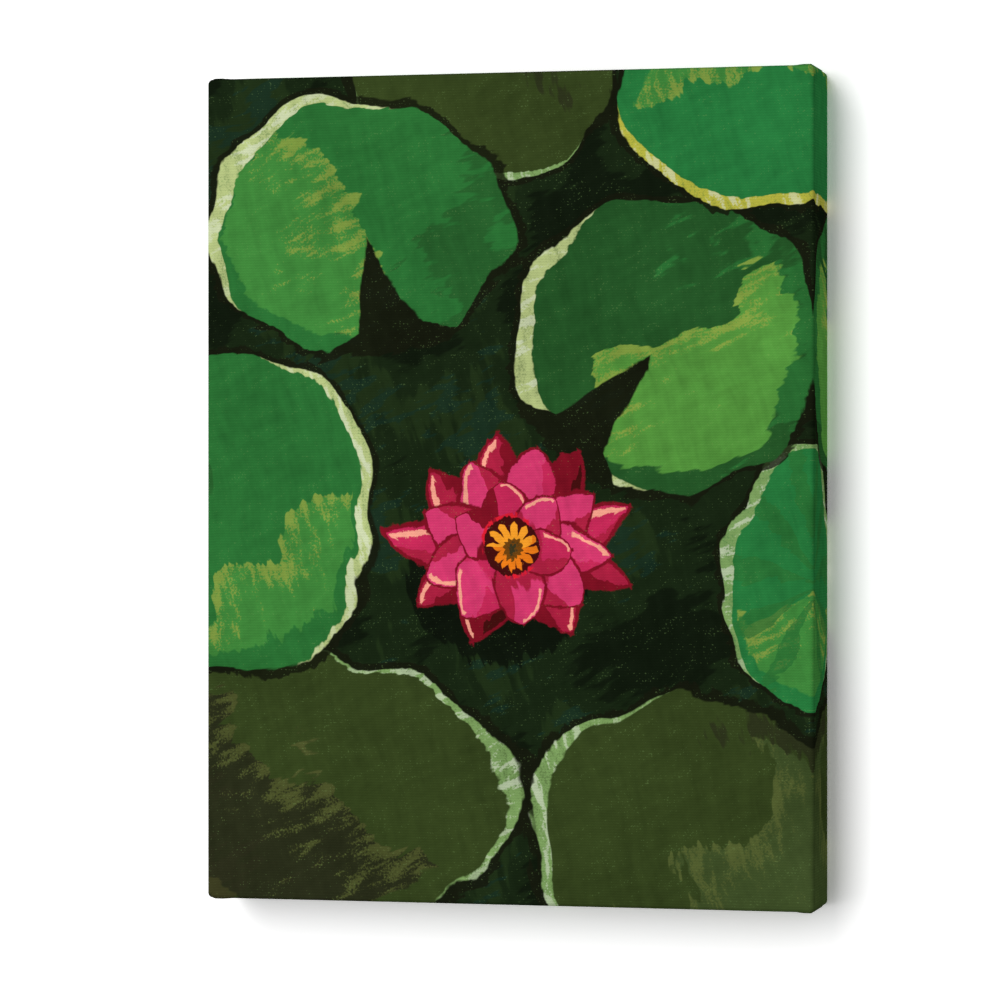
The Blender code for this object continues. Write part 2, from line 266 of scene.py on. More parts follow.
# --- Printed canvas ---------------------------------------------------------------------------------
# One sheet of cotton canvas, coated white and printed, pulled over the bars and folded at the corners.
# The picture runs on round the sides as its own mirror image. It stops a little way past the back edge,
# and from there to its cut edge the lip shows the white coat.

CLOTH = 0.0005
EDGE_RADIUS = 0.0023
BACK_RADIUS = 0.0009
CORNER_RADIUS = 0.0025
LIP = 0.020
FOLD_REACH = 0.038  # how far the corner's tucked cloth goes along the top and bottom
LAYER = 0.00045  # one more thickness of cloth under the top one
FINE_STEP = 0.0020
COARSE_STEP = 0.0050
SLACK = 0.0004  # how far the middle of the picture gives towards the wall
ARC_STEPS = 5
WRAP_START = 0.004  # how far in from the outline the flat front stops and the wrap round the side begins
LIP_STEP = 0.0024
BAKE_MARGIN = 0.060  # room round the unfolded picture for its sides and lip
BAKE_EDGE = 0.01
BAKE_BACK = (0.805, 0.24)  # where the cloth's back lies beside its front, and how large it is there

low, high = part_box("printed_canvas")
middle = (low + high) / 2
half_across, half_up = (high.x - low.x) / 2, (high.z - low.z) / 2
front_y, back_y = low.y, high.y
fold = EDGE_RADIUS * math.pi / 4  # from the flat front to the mirror line, round half of the edge
mirror_across, mirror_up = half_across - EDGE_RADIUS + fold, half_up - EDGE_RADIUS + fold


def smooth(value, start, end):
    """From 0 to 1 as value goes from start to end."""
    share = min(max((value - start) / (end - start), 0.0), 1.0)
    return share * share * (3 - 2 * share)


def arc(centre_a, centre_b, radius, start, end, steps=ARC_STEPS):
    turns = (math.radians(start + (end - start) * i / steps) for i in range(steps + 1))
    return [(centre_a + radius * math.cos(t), centre_b + radius * math.sin(t)) for t in turns]


def steps_between(start, end, step):
    """Evenly spaced values between two others, without them."""
    count = max(1, math.ceil(abs(end - start) / step))
    return [start + (end - start) * i / count for i in range(1, count)]


def section(outside):
    """(inset, y) along the cloth from the flat front, round the side, to the lip's cut edge."""
    gone = 0.0 if outside else CLOTH
    edge = arc(EDGE_RADIUS, front_y + EDGE_RADIUS, EDGE_RADIUS - gone, 270, 180)
    back = arc(BACK_RADIUS, back_y - BACK_RADIUS, BACK_RADIUS - gone, 180, 90)
    start, end = edge[-1], back[0]
    side = [(start[0], y) for y in steps_between(start[1], end[1], FINE_STEP if outside else COARSE_STEP)]
    lip_y = back[-1][1]
    lip = [(inset, lip_y) for inset in steps_between(BACK_RADIUS, LIP, LIP_STEP if outside else COARSE_STEP)]
    return [(WRAP_START, front_y + gone)] + edge + side + back + lip + [(LIP, lip_y)]


def measured(profile):
    """Each (inset, y) of a profile with how far along the cloth it is from the mirror line."""
    total = 0.0
    rows = [(profile[0], 0.0)]
    for one, other in zip(profile, profile[1:]):
        total += math.dist(one, other)
        rows.append((other, total))
    return [(inset, y, far - (WRAP_START - EDGE_RADIUS) - fold) for (inset, y), far in rows]


def side_stations(half):
    """Places along a side, from its middle, as shares of its straight length."""
    straight = half - CORNER_RADIUS
    fine = straight - FOLD_REACH - 0.006
    right = [0.0] + steps_between(0.0, fine, COARSE_STEP) + [fine]
    right += steps_between(fine, straight, FINE_STEP) + [straight]
    return [-a / straight for a in reversed(right[1:])] + [a / straight for a in right]


# Each side: the direction along it, the direction out of it, and its halves along and out
SIDE_FRAMES = (
    (Vector((1, 0, 0)), Vector((0, 0, -1)), half_across, half_up),
    (Vector((0, 0, 1)), Vector((1, 0, 0)), half_up, half_across),
    (Vector((-1, 0, 0)), Vector((0, 0, 1)), half_across, half_up),
    (Vector((0, 0, -1)), Vector((-1, 0, 0)), half_up, half_across),
)
STAPLES = [sum(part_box(name), Vector()) / 2 for name in sorted(nodes) if name.startswith("staple_")]


def front_give(x, z):
    """How far the front gives at a point, least at the edges, with a faint ripple."""
    give = (1 - (x / half_across) ** 4) * (1 - (z / half_up) ** 4)
    ripple = 0.15 * math.sin(41 * x + 17 * z) * math.sin(23 * z - 11 * x + 0.7)
    return SLACK * give * (0.85 + ripple)


def fold_rise(side, corner_far, far):
    """How far the tucked layers at a corner lift the top one, on the picture's top and bottom."""
    if side % 2:
        return 0.0
    own = 0.7 * LAYER * (1 - smooth(corner_far, 0.030, FOLD_REACH + 0.006))
    tucked = 1.3 * LAYER * smooth(far - corner_far, -0.0015, 0.0015)
    tucked *= 1 - smooth(corner_far, FOLD_REACH - 0.005, FOLD_REACH)
    return (own + tucked) * smooth(far, 0.0005, 0.006)


def lip_rise(side, place, corner_far):
    """The lip puffs between the staples, and at each corner one side's lip lies over the other's."""
    near = min((Vector((s.x, 0, s.z)) - Vector((place.x, 0, place.z))).length for s in STAPLES)
    puff = 0.00024 + 0.0003 * smooth(near, 0.003, 0.014)
    over = 0.0 if side % 2 else 0.8 * LAYER * (1 - smooth(corner_far, 0.010, 0.026))
    return puff * smooth(corner_far, 0.0, 0.008) + over


def cut_wobble(place):
    """The scissors' wander along the cut edge."""
    turn = math.atan2(place.z - middle.z, place.x)
    return 0.0005 * math.sin(31 * turn) + 0.0003 * math.sin(83 * turn + 1.3)


def cloth_loop(inset, y, far, outside):
    """One closed loop round the cloth: (point, side, unfolded place) all the way round."""
    radius = max(CORNER_RADIUS - inset, 0.0)
    on_lip = inset > BACK_RADIUS and y > middle.y
    loop = []
    for side, (along, out, half_along, half_out) in enumerate(SIDE_FRAMES):
        straight = half_along - inset - radius
        spots = [(share * straight, 0.0, side, 0.0) for share in side_stations(half_along)]
        for step in range(ARC_STEPS + 1):
            turn = math.pi / 2 * step / ARC_STEPS
            spots.append((straight + radius * math.sin(turn), radius * (1 - math.cos(turn)), None, step))
        for a, back_off, owner, step in spots:
            place = middle + along * a + out * (half_out - inset - back_off)
            place.y = y
            corner_far = straight - abs(a)
            if outside and owner is not None:
                if on_lip:
                    place.y += lip_rise(side, place, corner_far)
                elif far > 0:
                    place += out * fold_rise(side, corner_far, far)
            if on_lip and inset > LIP - 1e-6:
                place += out * cut_wobble(place)
            reach = (mirror_up, mirror_across)[side % 2] + far
            if owner is None and side % 2 == 0:
                # the corner's cloth belongs to the upright side that comes next
                next_along, next_out, next_half, _ = SIDE_FRAMES[(side + 1) % 4]
                arc_far = CORNER_RADIUS * (math.pi / 2) * (1 - step / ARC_STEPS)
                flat = next_along * -(next_half - CORNER_RADIUS + arc_far)
                flat += next_out * (mirror_across + far)
            elif owner is None:
                arc_far = CORNER_RADIUS * (math.pi / 2) * (step / ARC_STEPS)
                flat = along * (half_along - CORNER_RADIUS + arc_far) + out * reach
            else:
                flat = along * a + out * reach
            loop.append((place, flat))
    return loop


def front_grid(inset, y, outside):
    """The flat front's points, as rows up the picture."""
    columns = [share * (half_across - inset) for share in side_stations(half_across)]
    rows = [share * (half_up - inset) for share in side_stations(half_up)]
    grid = []
    for z in rows:
        row = []
        for x in columns:
            edge = abs(x) > half_across - inset - 1e-7 or abs(z) > half_up - inset - 1e-7
            give = 0.0 if edge else front_give(x, z)
            row.append((middle + Vector((x, y + give - middle.y, z)), Vector((x, 0, z))))
        grid.append(row)
    return grid


def bake_spot(flat, outside):
    """Where a spot of the unfolded cloth lies on the map for baking."""
    start, scale = BAKE_EDGE, (1 - 2 * BAKE_EDGE) / (2 * (mirror_up + BAKE_MARGIN))
    if not outside:
        start, scale = BAKE_BACK[0], BAKE_BACK[1] * scale
    across, up = flat.x + mirror_across + BAKE_MARGIN, flat.z + mirror_up + BAKE_MARGIN
    return start + across * scale, BAKE_EDGE + up * scale


def make_cloth():
    shape = bmesh.new()
    sheet_map = shape.loops.layers.uv.new("sheet")
    picture_map = shape.loops.layers.uv.new("picture")
    bake_map = shape.loops.layers.uv.new("OFBake")
    sheets = {}
    corners_made = {}

    def vertex(point):
        key = tuple(round(value * 1e6) for value in point)
        if key not in corners_made:
            corners_made[key] = shape.verts.new(point)
        return corners_made[key]

    def face(corners, material):
        kept = {vertex(point): flat for point, flat in corners}
        if len(kept) < 3:
            return
        made = shape.faces.new(kept)
        made.material_index = material
        made.smooth = True
        for loop, flat in zip(made.loops, kept.values()):
            loop[sheet_map].uv = (flat.x, flat.z)
            loop[picture_map].uv = (mirrored(flat.x, mirror_across), mirrored(flat.z, mirror_up))
            loop[bake_map].uv = bake_spot(flat, material == 0)

    for outside in (True, False):
        material = 0 if outside else 1
        rows = measured(section(outside))
        loops = [cloth_loop(inset, y, far, outside) for inset, y, far in rows]
        for one, other in zip(loops, loops[1:]):
            for i in range(len(one)):
                j = (i + 1) % len(one)
                quad = (one[i], one[j], other[j], other[i])
                face(quad if outside else quad[::-1], material)
        grid = front_grid(rows[0][0], rows[0][1], outside)
        for one, other in zip(grid, grid[1:]):
            for i in range(len(one) - 1):
                quad = (one[i], one[i + 1], other[i + 1], other[i])
                face(quad if outside else quad[::-1], material)
        sheets[outside] = loops[-1]
    outer, inner = sheets[True], sheets[False]
    for i in range(len(outer)):
        j = (i + 1) % len(outer)
        face((outer[i], outer[j], inner[j], inner[i]), 1)
    mesh = bpy.data.meshes.new("canvas")
    shape.to_mesh(mesh)
    shape.free()
    mesh.set_sharp_from_angle(angle=math.radians(48))
    canvas = bpy.data.objects.new("canvas", mesh)
    bpy.context.scene.collection.objects.link(canvas)
    return canvas


def mirrored(value, mirror):
    """The picture's coordinate at an unfolded one: past the mirror line it runs backwards."""
    if abs(value) <= mirror:
        return value
    return math.copysign(2 * mirror - abs(value), value)


canvas = make_cloth()
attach(canvas, "root")
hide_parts("printed_canvas")

# The picture: dark pond water, round leaves floating on it and one pink lily, in flat strokes of thick
# paint with ragged edges. Places and sizes are on the picture, from its middle.

THREAD_PAIR = 0.0013  # from one raised row of the weave to the next
BLEED = 0.010  # how far the print runs past the back edge
PRIMED = ink(236, 233, 224)
WATER, WATER_LIT, WATER_TEAL, DEPTH = ink(24, 37, 19), ink(33, 49, 24), ink(18, 44, 36), ink(14, 20, 12)
GAP = ink(22, 25, 14)
LEAF, LEAF_DEEP, LEAF_COOL = ink(42, 108, 50), ink(36, 82, 38), ink(38, 116, 58)
LEAF_LIGHT, LEAF_WARM, LEAF_DRAGGED = ink(84, 146, 60), ink(64, 132, 58), ink(152, 156, 66)
OLIVE, OLIVE_DEEP, OLIVE_LIT = ink(52, 66, 30), ink(40, 42, 26), ink(62, 78, 40)
OLIVE_DRAGGED, BROWN = ink(92, 100, 50), ink(58, 54, 32)
RIM, CREAM, CHALK, YELLOW = ink(122, 156, 92), ink(176, 190, 126), ink(206, 212, 192), ink(180, 178, 66)
PINK, PINK_DEEP, ROSE = ink(206, 56, 106), ink(190, 40, 84), ink(166, 32, 62)
CRIMSON, MAROON, SCARLET = ink(122, 18, 34), ink(66, 16, 16), ink(214, 30, 48)
PEACH, ORANGE, AMBER, OCHRE = ink(238, 158, 136), ink(232, 122, 26), ink(242, 156, 42), ink(110, 66, 18)

# Each leaf's paints: body, shade, sunlit part, what is dragged over that, and rim
GREEN = (LEAF, LEAF_DEEP, LEAF_WARM, LEAF_DRAGGED, CREAM)
GREEN_SUNLIT = (LEAF_DEEP, LEAF, LEAF_LIGHT, LEAF_DRAGGED, CREAM)
GREEN_COOL = (LEAF_COOL, LEAF, LEAF_WARM, LEAF_DRAGGED, RIM)
GREEN_GOLD = (LEAF_COOL, LEAF, LEAF_WARM, LEAF_DRAGGED, YELLOW)
DARK_OLIVE = (OLIVE, OLIVE_DEEP, OLIVE_LIT, OLIVE_DRAGGED, RIM)
DARK_BROWN = (OLIVE, BROWN, OLIVE_DEEP, OLIVE_DRAGGED, RIM)

# Leaves, from the lowest to the one on top: middle, half sizes, where the notch points in degrees (None
# where it doesn't show), paints, the sunlit part's direction and how far off it starts, the pale rim's
# direction and width, and the strength of its veins
LEAVES = (
    ((0.094, -0.168), (0.084, 0.066), None, DARK_OLIVE, 330, 0.12, 172, 0.09, 0),
    ((-0.098, -0.150), (0.104, 0.066), None, DARK_BROWN, 215, -0.05, 20, 0.07, 0),
    ((-0.014, 0.196), (0.066, 0.046), None, DARK_OLIVE, 80, 1.50, 250, 0.09, 0),
    ((0.158, -0.044), (0.052, 0.064), None, GREEN_COOL, 290, 0.05, 158, 0.14, 0.8),
    ((-0.136, -0.012), (0.070, 0.078), None, GREEN, 300, 0.30, 10, 0.10, 0),
    ((0.080, 0.070), (0.075, 0.071), 226, GREEN_SUNLIT, 310, -0.06, 190, 0.16, 0),
    ((0.124, 0.184), (0.068, 0.050), None, GREEN_GOLD, 110, 0.28, 250, 0.14, 0),
    ((-0.076, 0.130), (0.078, 0.064), 286, GREEN, 205, 0.02, 150, 0.16, 0),
)
NOTCH_OPENING = 0.30

# Petals, from the outermost to the innermost: direction in degrees, length, width as a share of the
# length, bend, paints (body, shade), and the side of the pale stroke near the tip
LILY_MIDDLE = (0.004, -0.030)
SHADOW_SIZE = 0.047
HEART_SIZE = 0.0105
STAMENS = 12
PETALS = (
    (97, 0.057, 0.20, 0.20, (ROSE, CRIMSON), 1),
    (57, 0.058, 0.21, -0.25, (CRIMSON, MAROON), 0),
    (137, 0.058, 0.20, 0.30, (ROSE, CRIMSON), 1),
    (20, 0.061, 0.20, -0.20, (PINK_DEEP, ROSE), 1),
    (172, 0.063, 0.19, 0.20, (PINK_DEEP, ROSE), -1),
    (342, 0.059, 0.20, 0.30, (ROSE, CRIMSON), 0),
    (208, 0.055, 0.22, -0.25, (ROSE, CRIMSON), -1),
    (304, 0.050, 0.26, 0.25, (ROSE, CRIMSON), 1),
    (246, 0.050, 0.26, -0.20, (CRIMSON, MAROON), -1),
    (76, 0.051, 0.26, -0.10, (PINK, PINK_DEEP), 0),
    (117, 0.049, 0.28, 0.15, (PINK, ROSE), 1),
    (36, 0.049, 0.27, -0.30, (PINK, ROSE), 0),
    (156, 0.048, 0.27, 0.25, (PINK, ROSE), 0),
    (358, 0.050, 0.27, 0.15, (PINK, PINK_DEEP), 1),
    (196, 0.046, 0.28, -0.20, (PINK, ROSE), 1),
    (320, 0.043, 0.32, 0.30, (PINK, ROSE), 0),
    (233, 0.042, 0.33, -0.30, (PINK, PINK_DEEP), -1),
    (277, 0.037, 0.36, 0.10, (PINK, ROSE), 1),
    (100, 0.033, 0.36, 0.15, (PINK_DEEP, CRIMSON), -1),
    (50, 0.033, 0.36, -0.25, (PINK, ROSE), 1),
    (150, 0.032, 0.36, 0.30, (PINK, CRIMSON), 0),
    (4, 0.030, 0.36, -0.15, (PINK_DEEP, ROSE), 1),
)


def direction(degrees):
    turn = math.radians(degrees)
    return (math.cos(turn), math.sin(turn), 0.0)


def brushwork(name, paint, **kinds):
    """A node group that paints one thing over the picture. Its inputs are those of paint, by name."""
    tree = bpy.data.node_groups.new(name, "ShaderNodeTree")
    for label, kind in kinds.items():
        tree.interface.new_socket(label, in_out="INPUT", socket_type="NodeSocket" + kind)
    tree.interface.new_socket("painted", in_out="OUTPUT", socket_type="NodeSocketColor")
    entry, result = tree.nodes.new("NodeGroupInput"), tree.nodes.new("NodeGroupOutput")
    given = {label: Socket(entry.outputs[label]) for label in kinds}
    join(paint(**given), result.inputs["painted"])
    return tree


def paint_leaf(
    picture, place, brush, dry, bulge, worn,
    middle, shrink, notch, across, sun, sun_from, rim_way, rim_wide, veins, **paints,
):
    """One floating leaf, with a dark gap round it. shrink brings its two half sizes to 1."""
    spot = place.plus(middle).stretched(shrink)
    far = spot.length().nudged(bulge, 0.20)
    flare = far.maths("MAXIMUM", 0.84) * 4.0 - 2.36
    slit = spot.along(notch) * flare - abs(spot.along(across))
    picture = picture.under(far.nudged(brush, -0.12).below(0.99, 0.008) * 0.92, GAP)

    facing = spot.along(rim_way)
    shaded = (facing * -0.34).nudged(brush, 0.55).nudged(bulge, 0.5).above(0.50, 0.04)
    paint = paints["body"].under(shaded * 0.75, paints["shade"])
    sunny = spot.along(sun).nudged(brush, 0.30).nudged(bulge, 0.7) - sun_from
    sunlit = sunny.above(0.15, 0.012) * far.nudged(brush, 0.16).below(0.95, 0.010)
    paint = paint.under(sunlit * 0.9, paints["light"])
    dragged = (abs(sunny - 0.15) * -0.5).nudged(brush, 0.9).nudged(dry, 0.4).above(0.62, 0.07)
    paint = paint.under(sunlit * dragged * 0.5, paints["dragged"])
    fan = spot.along((0, 1, 0)).maths("ARCTAN2", spot.along((1, 0, 0))) * 11
    fan = (fan.maths("SINE") * 0.5 - abs(far - 0.55)).nudged(brush, 1.1)
    paint = paint.under(fan.above(0.52, 0.03) * veins, paints["shade"])
    rimmed = (far + (facing - 0.30) * rim_wide * 1.4).nudged(brush, 0.04).above(1.02, 0.006)
    paint = paint.under(rimmed * worn, paints["rim"])
    paint = paint.under(rimmed * brush.nudged(dry, 0.25).above(0.69, 0.04) * facing * 0.55, CHALK)
    return picture.under(far.below(1.0, 0.006) * slit.below(0.035, 0.008), paint)


def paint_petal(picture, place, brush, dry, ahead, across, width, bend, side, stroke, body, shade):
    """One pointed petal, from the lily's middle. ahead and across are its axes, shrunk by its length."""
    along = place.along(ahead)
    aside = place.along(across) - along * (1 - along) * bend
    past = abs(aside) - along ** 0.8 * (1 - along) ** 0.80 * width * 3.0
    past = past.maths("MAXIMUM", abs(along - 0.5) - 0.5).nudged(dry, 0.02)
    picture = picture.under(past.nudged(brush, -0.05).below(0.008, 0.010), CRIMSON)
    folded = (aside * side * -0.8 / width).nudged(brush, 0.5).above(0.52, 0.012)
    root = along.nudged(brush, 0.34).below(0.60, 0.02)
    paint = body.under(folded.maths("MAXIMUM", root), shade)
    tip = along.nudged(brush, 0.3).above(0.72, 0.02) * (aside * side).above(-0.01, 0.006) * stroke
    paint = paint.under(abs(past + 0.050).nudged(brush, 0.030).below(0.040, 0.004) * tip, PEACH)
    return picture.under(past.below(-0.004, 0.006), paint)


COMMON = {"picture": "Color", "place": "Vector", "brush": "Float", "dry": "Float"}
LEAF_BRUSHWORK = brushwork(
    "leaf",
    paint_leaf,
    **COMMON,
    **dict.fromkeys(("middle", "shrink", "notch", "across", "sun", "rim_way"), "Vector"),
    **dict.fromkeys(("bulge", "sun_from", "rim_wide", "veins", "worn"), "Float"),
    **dict.fromkeys(("body", "shade", "light", "dragged", "rim"), "Color"),
)
PETAL_BRUSHWORK = brushwork(
    "petal",
    paint_petal,
    **COMMON,
    **dict.fromkeys(("ahead", "across"), "Vector"),
    **dict.fromkeys(("width", "bend", "side", "stroke"), "Float"),
    **dict.fromkeys(("body", "shade"), "Color"),
)


def leaf(picture, place, brush, dry, bulge, worn, row):
    middle, size, notch, paints, sun, sun_from, rim_way, rim_wide, veins = row
    opening = 0.0 if notch is None else NOTCH_OPENING
    notch = notch or 0.0
    values = {
        "picture": picture,
        "place": place,
        "brush": brush,
        "dry": dry,
        "bulge": bulge,
        "worn": worn,
        "middle": (-middle[0], -middle[1], 0),
        "shrink": (1 / size[0], 1 / size[1], 0),
        "notch": tuple(part * opening for part in direction(notch)),
        "across": direction(notch + 90),
        "sun": direction(sun),
        "sun_from": sun_from,
        "rim_way": direction(rim_way),
        "rim_wide": rim_wide,
        "veins": veins,
        **dict(zip(("body", "shade", "light", "dragged", "rim"), paints)),
    }
    return picture.node("Group", {"node_tree": LEAF_BRUSHWORK}, values)


def petal(picture, place, brush, dry, row):
    way, length, width, bend, (body, shade), edge = row
    values = {
        "picture": picture,
        "place": place,
        "brush": brush,
        "dry": dry,
        "ahead": tuple(part / length for part in direction(way)),
        "across": tuple(part / length for part in direction(way + 90)),
        "width": width,
        "bend": bend,
        "side": edge or 1.0,
        "stroke": abs(edge),
        "body": body,
        "shade": shade,
    }
    return picture.node("Group", {"node_tree": PETAL_BRUSHWORK}, values)


def lily(picture, place, brush, dry):
    """The flower, from its shadow and outermost petals to the ring of stamens in its bowl."""
    place = place.plus((-LILY_MIDDLE[0], -LILY_MIDDLE[1], 0))
    shadow = place.plus((0.008, 0.012, 0)).scaled(1 / SHADOW_SIZE).length()
    picture = picture.under((shadow + brush * 0.4).below(1.14, 0.02) * 0.9, DEPTH)
    for row in PETALS:
        picture = petal(picture, place, brush, dry, row)
    heart = place.scaled(1 / HEART_SIZE)
    bowl = heart.plus((0.10, -0.16, 0)).length() + brush * 0.4 + dry * 0.1
    picture = picture.under(bowl.below(1.66, 0.02) * brush.above(0.50, 0.04), SCARLET)
    picture = picture.under(bowl.below(1.50, 0.02), MAROON)
    far = heart.length() + brush * 0.24
    turns = heart.along((0, 1, 0)).maths("ARCTAN2", heart.along((1, 0, 0))) * (STAMENS / (2 * math.pi))
    turns = turns + (brush - 0.5) * 0.6
    off = abs(turns - turns.maths("ROUND"))
    chance = (turns.maths("ROUND") * 12.9).maths("SINE")
    filament = (off * far + dry * 0.10).below(0.40, 0.03)
    filament = filament * (far + off * 0.5 - chance * 0.16).below(1.22, 0.03)
    picture = picture.under(filament, ORANGE)
    picture = picture.under(filament * (chance + brush * 1.2).above(0.7, 0.05), AMBER)
    picture = picture.under((far + off * 0.3 + dry * 0.1).below(0.70, 0.02), OCHRE)
    return picture.under((far + dry * 0.4).below(0.56, 0.03), BROWN)


def past_print(place):
    """1 where the cloth is past the end of the print, which runs on a little way over the back edge."""
    sheet = place.node("UVMap", {"uv_map": "sheet"})
    printed = cad_high.y - cad_low.y + BLEED
    over = abs(sheet.along((1, 0, 0))) - (mirror_across + printed)
    return over.maths("MAXIMUM", abs(sheet.along((0, 1, 0))) - (mirror_up + printed)).above(0.0, 0.0002)


def painted_picture():
    material, shader, flat = new_material("printed canvas", uv_map="picture")
    drift = flat.noise(0.045, 1.0, kind="2D", output=1).plus((-0.5, -0.5, -0.5)).scaled(0.009)
    wavy = flat.plus(drift)
    strokes = wavy.drawn_out((1.0, 3.5, 1.0), math.radians(14)).noise(0.0060, 2.0, 0.6, "2D")
    cross = wavy.drawn_out((3.5, 1.0, 1.0), math.radians(24)).noise(0.0056, 2.0, 0.6, "2D")
    rag = strokes.node("CombineXYZ", None, {0: strokes - 0.5, 1: cross - 0.5}).scaled(0.0036)
    place = wavy.plus(rag)
    dry = flat.noise(0.0011, 1.0, 0.7, "2D")
    cloud = flat.noise(0.055, 1.0, kind="2D")
    bulge = flat.noise(0.034, 0.0, kind="2D") - 0.5

    picture = flat.colour(WATER)
    picture = picture.under((cloud + strokes * 0.30).above(0.72, 0.03) * 0.7, WATER_LIT)
    picture = picture.under((cloud * 0.7 + cross * 0.5).above(0.70, 0.02) * 0.5, WATER_TEAL)
    picture = picture.under((cloud + cross * 0.3).below(0.54, 0.03) * 0.7, DEPTH)
    worn = (dry * 0.7 + strokes * 0.6).above(0.52, 0.08) * 0.35 + 0.65
    for number, row in enumerate(LEAVES):
        picture = leaf(picture, place, cross if number % 2 else strokes, dry, bulge, worn, row)
    picture = lily(picture, place, strokes, dry)

    x, y = flat.along((1, 0, 0)), flat.along((0, 1, 0))
    around = 2 * math.pi / THREAD_PAIR
    weave = (y * around + (x * around).maths("SINE") * 0.8).maths("SINE")
    fleck = (dry * 0.75 + cross * 0.35 + weave * 0.05).above(0.77, 0.02)
    picture = picture.under(fleck * 0.18, RIM)
    picture = picture.scaled(strokes * 0.40 + cross * 0.30 + cloud * 0.30 + weave * 0.06 + 0.50)
    picture = picture.under(past_print(flat), PRIMED)
    join(picture, shader.inputs["Base Color"])
    shader.inputs["Roughness"].default_value = 0.8
    shader.inputs["Specular IOR Level"].default_value = 0.0
    raise_surface(shader, weave * 0.5 + strokes * 0.5 + dry * 0.2, 0.00010)
    return material


canvas.data.materials.append(painted_picture())


THREAD = 0.00065  # one thread's width in the plain weave
COTTON = ink(228, 217, 190)


def bare_canvas():
    """The uncoated back of the cloth: a plain weave of cream cotton, with its seeds and slubs, and painted
    shade between its threads.
    """
    material, shader, place = new_material("bare canvas", uv_map="sheet")
    wander = place.noise(0.006, 1.0, kind="2D") * 0.0004
    across, up = place.along((1, 0, 0)) + wander, place.along((0, 1, 0)) - wander
    warp = abs((across * (math.pi / THREAD)).maths("SINE"))
    weft = abs((up * (math.pi / THREAD)).maths("SINE"))
    over = ((across / THREAD).maths("FLOOR") + (up / THREAD).maths("FLOOR")).maths("FLOORED_MODULO", 2.0)
    height = warp * (over * 0.5 + 0.5) + weft * (1 - over * 0.5)
    slub = place.drawn_out((1.0, 12.0, 1.0)).noise(0.0007, 2.0, 0.6, "2D")
    seed = place.noise(0.0026, 0.0, kind="2D").above(0.86, 0.010)
    # The low places between the threads are painted darker than the raised ones: painted shade in the
    # weave's hollows, following the same relief as the bump.
    colour = place.colour(ink(196, 182, 152)).under(height * 0.55, COTTON)
    colour = colour.under(slub.above(0.62, 0.12) * 0.30, ink(240, 230, 206))
    colour = colour.under(seed * 0.45, ink(150, 122, 84))
    join(colour, shader.inputs["Base Color"])
    shader.inputs["Roughness"].default_value = 0.92
    shader.inputs["Specular IOR Level"].default_value = 0.2
    raise_surface(shader, height * 0.5 + slub * 0.3, 0.00025)
    return material


canvas.data.materials.append(bare_canvas())


# --- Staples ----------------------------------------------------------------------------------------
# Zinc-plated steel staples, shot through the lip into the bars at even steps, with their crowns flush on
# the cloth. The plating is dull and faintly streaked along the wire.


def plated(name, pale, dark, rough, streak):
    """Plated steel: a metal with soft cloudy tarnish and fine rubbed streaks."""
    material, shader, place = new_material(name)
    cloud = place.noise(0.004, 2.0)
    rub = place.drawn_out((streak, 1.0, 1.0)).noise(0.0004, 2.0, 0.6)
    tarnish = (cloud * 0.7 + rub * 0.5).above(0.58, 0.25)
    join(place.colour(pale).under(tarnish, dark), shader.inputs["Base Color"])
    join(rub * 0.22 + cloud * 0.12 + rough, shader.inputs["Roughness"])
    shader.inputs["Metallic"].default_value = 1.0
    raise_surface(shader, rub * 0.6 + cloud * 0.4, 0.00002)
    return material


zinc = plated("zinc plate", ink(206, 209, 212), ink(164, 168, 173), 0.24, 8.0)
for name in sorted(nodes):
    if name.startswith("staple_"):
        dress(nodes[name], zinc)


# --- Hanger -----------------------------------------------------------------------------------------
# A sawtooth hanger stamped from thin steel and brass-plated, held by two small nails. Its middle notch
# sits on the nail or screw in the wall.

brass = plated("brass plate", ink(222, 186, 112), ink(176, 134, 66), 0.20, 5.0)
for name in ("sawtooth_hanger", "hanger_nail_left", "hanger_nail_right"):
    dress(nodes[name], brass)


# --- Bumpers ----------------------------------------------------------------------------------------
# Two black rubber discs stuck to the bars' lower ends, which keep the print upright and off the wall.

material, shader, place = new_material("bumper rubber")
grain = place.noise(0.0005, 2.0, 0.6)
dust = place.noise(0.003, 3.0, 0.6).above(0.56, 0.12)
rubber = place.colour(ink(28, 28, 30)).under(dust * 0.3 + grain * 0.1, ink(74, 73, 72))
join(rubber, shader.inputs["Base Color"])
join(grain * 0.15 + 0.62, shader.inputs["Roughness"])
raise_surface(shader, grain, 0.00005)
for name in ("bumper_left", "bumper_right"):
    dress(nodes[name], material)


# --- Stage, light and camera ------------------------------------------------------------------------
# A white wall just behind the print, with a plain pale floor below, and a broad soft lamp high on the
# left. The wall shows and takes shadows only from its front, so the back can be looked at too.

WALL_GAP = 0.0005
WALL_SIZE = 12.0
FLOOR_DROP = 0.9
WHITE = 0.66  # the share of light that one coat sends back; two coats are added up
CAMERA_TURN = math.radians(13.73)
CAMERA_FAR = 2.008
CAMERA_LENS = 146.7


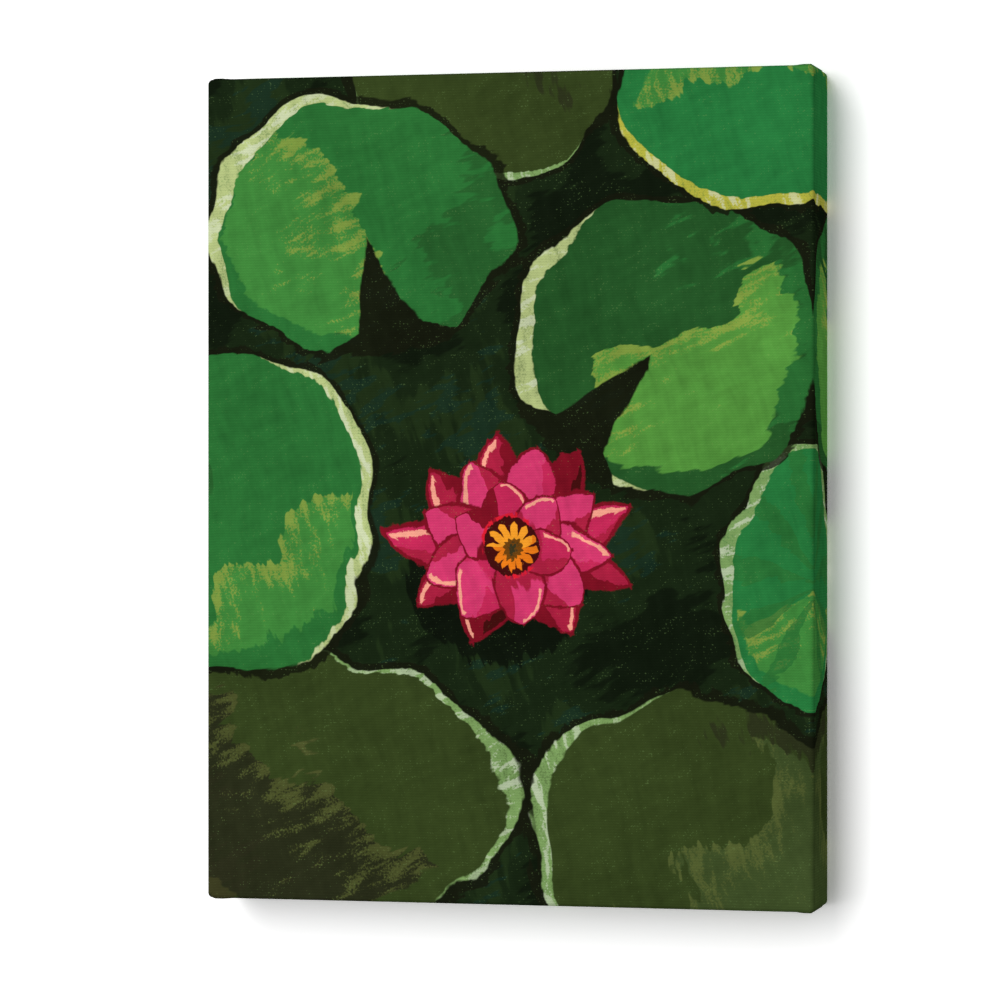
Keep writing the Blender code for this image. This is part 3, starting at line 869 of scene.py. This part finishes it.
def panel(name, corners):
    """A flat part of the stage, matt white, that is there only for what looks at its front."""
    mesh = bpy.data.meshes.new(name)
    mesh.from_pydata(corners, [], [tuple(range(len(corners)))])
    made = bpy.data.objects.new(name, mesh)
    bpy.context.scene.collection.objects.link(made)
    material = bpy.data.materials.new(name)
    material.use_nodes = True
    tree = material.node_tree
    tree.nodes.remove(tree.nodes["Principled BSDF"])
    output = tree.nodes["Material Output"]
    behind = Socket(tree.nodes.new("ShaderNodeNewGeometry").outputs["Backfacing"])
    coat = behind.node("BsdfDiffuse", None, {"Color": (WHITE, WHITE, WHITE)})
    front = behind.node("AddShader", None, {0: coat, 1: coat})
    clear = behind.node("BsdfTransparent")
    join(behind.node("MixShader", None, {0: behind, 1: front, 2: clear}), output.inputs["Surface"])
    mesh.materials.append(material)
    made.visible_shadow = False
    made.visible_diffuse = False
    made.visible_glossy = False
    made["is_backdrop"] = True


wall_y = cad_high.y + WALL_GAP
floor_z = cad_low.z - FLOOR_DROP
reach = WALL_SIZE / 2
spots = ((-reach, floor_z), (reach, floor_z), (reach, reach), (-reach, reach))
panel("wall", [(x, wall_y, z) for x, z in spots])
spots = ((-reach, -reach), (reach, -reach), (reach, reach), (-reach, reach))
panel("floor", [(x, y, floor_z) for x, y in spots])


def lamp(name, place, aim, size, power):
    data = bpy.data.lights.new(name, "AREA")
    data.shape = "RECTANGLE"
    data.size, data.size_y = size
    data.energy = power
    made = bpy.data.objects.new(name, data)
    bpy.context.scene.collection.objects.link(made)
    made.location = place
    made.rotation_euler = (aim - made.location).to_track_quat("-Z", "Y").to_euler()
    made.visible_camera = False


picture_middle = Vector((0, cad_low.y, middle.z))
lamp("key", picture_middle + Vector((-0.77, -2.7, 0.64)), picture_middle, (1.55, 3.0), 66)
lamp("back fill", picture_middle + Vector((0.8, 2.4, 1.0)), picture_middle, (2.0, 2.0), 45)
world = bpy.data.worlds.new("studio")
world.use_nodes = True
world.node_tree.nodes["Background"].inputs["Color"].default_value = (1, 1, 1, 1)
world.node_tree.nodes["Background"].inputs["Strength"].default_value = 0.42
bpy.context.scene.world = world
bpy.context.scene.view_settings.view_transform = "Standard"

camera_data = bpy.data.cameras.new("camera")
camera_data.lens = CAMERA_LENS
camera_data.shift_x, camera_data.shift_y = -0.0155, -0.0114
camera = bpy.data.objects.new("camera", camera_data)
bpy.context.scene.collection.objects.link(camera)
away = Vector((math.sin(CAMERA_TURN), -math.cos(CAMERA_TURN), 0))
camera.location = Vector((0, cad_low.y / 2, middle.z)) + away * CAMERA_FAR
camera.rotation_euler = (math.pi / 2, 0, CAMERA_TURN)
bpy.context.scene.camera = camera

low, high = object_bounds()
